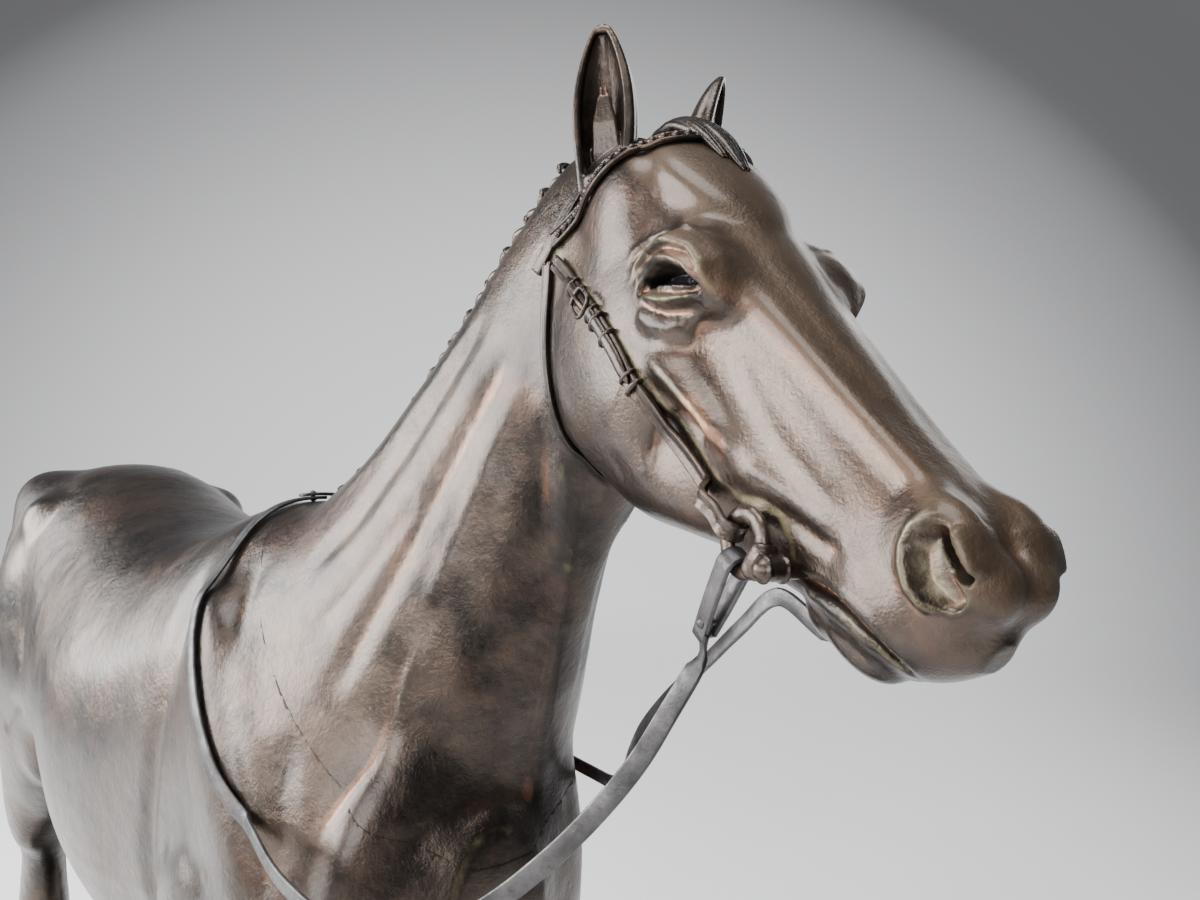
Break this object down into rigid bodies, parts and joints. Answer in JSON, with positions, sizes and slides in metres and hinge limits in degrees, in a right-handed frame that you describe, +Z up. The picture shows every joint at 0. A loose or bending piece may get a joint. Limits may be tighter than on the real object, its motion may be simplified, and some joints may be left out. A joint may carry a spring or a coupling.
{
  "type": "bronze horse statue",
  "caption": "Standing bronze horse with a bridle and loose strap reins, on a bronze plate and a moulded wooden plinth.",
  "frame": {"origin": "middle of the plinth's underside, on the plane it rests on", "axes": "+X to the horse's front, +Y to the horse's left, +Z up"},
  "size_m": [0.5006, 0.156, 0.4659],
  "materials": {
    "bronze": "dark brown patina, polished edges, green in the recesses",
    "strap_bronze": "grey worn patina, satin",
    "steel": "plain zinc plate",
    "wood": "dark stain, satin lacquer",
    "felt": "matte"
  },
  "bodies": {
    "statue": {"trunk_casting": "bronze", "neck_casting": "bronze", "head_casting": "bronze", "ear_left": "bronze", "ear_right": "bronze", "foreleg_left": "bronze", "foreleg_right": "bronze", "hindleg_left": "bronze", "hindleg_right": "bronze", "tail": "bronze", "mane_plaits": "bronze", "forelock": "bronze", "crownpiece": "bronze", "browband": "bronze", "throatlatch": "bronze", "cheekpiece_left": "bronze", "cheekpiece_right": "bronze", "bit_mouthpiece": "bronze", "bit_ring_left": "bronze", "bit_ring_right": "bronze", "base_plate": "bronze", "stud_foreleg_left": "steel", "stud_foreleg_right": "steel", "stud_hindleg_left": "steel", "stud_hindleg_right": "steel", "washer_foreleg_left": "steel", "washer_foreleg_right": "steel", "washer_hindleg_left": "steel", "washer_hindleg_right": "steel", "nut_foreleg_left": "steel", "nut_foreleg_right": "steel", "nut_hindleg_left": "steel", "nut_hindleg_right": "steel", "plinth": "wood", "felt_underlay": "felt"},
    "reins": {"rein_left": "strap_bronze", "rein_right": "strap_bronze", "rivet_left": "strap_bronze", "rivet_right": "strap_bronze", "rivet_withers": "strap_bronze"}
  },
  "joints": [
    {"name": "reins_lift", "type": "hinge", "parent": "statue", "child": "reins", "pos_m": [0.26264, 0.0076, 0.37116], "axis": [0.1649, 0.9841, -0.0654], "range_deg": [0, 6]}
  ]
}
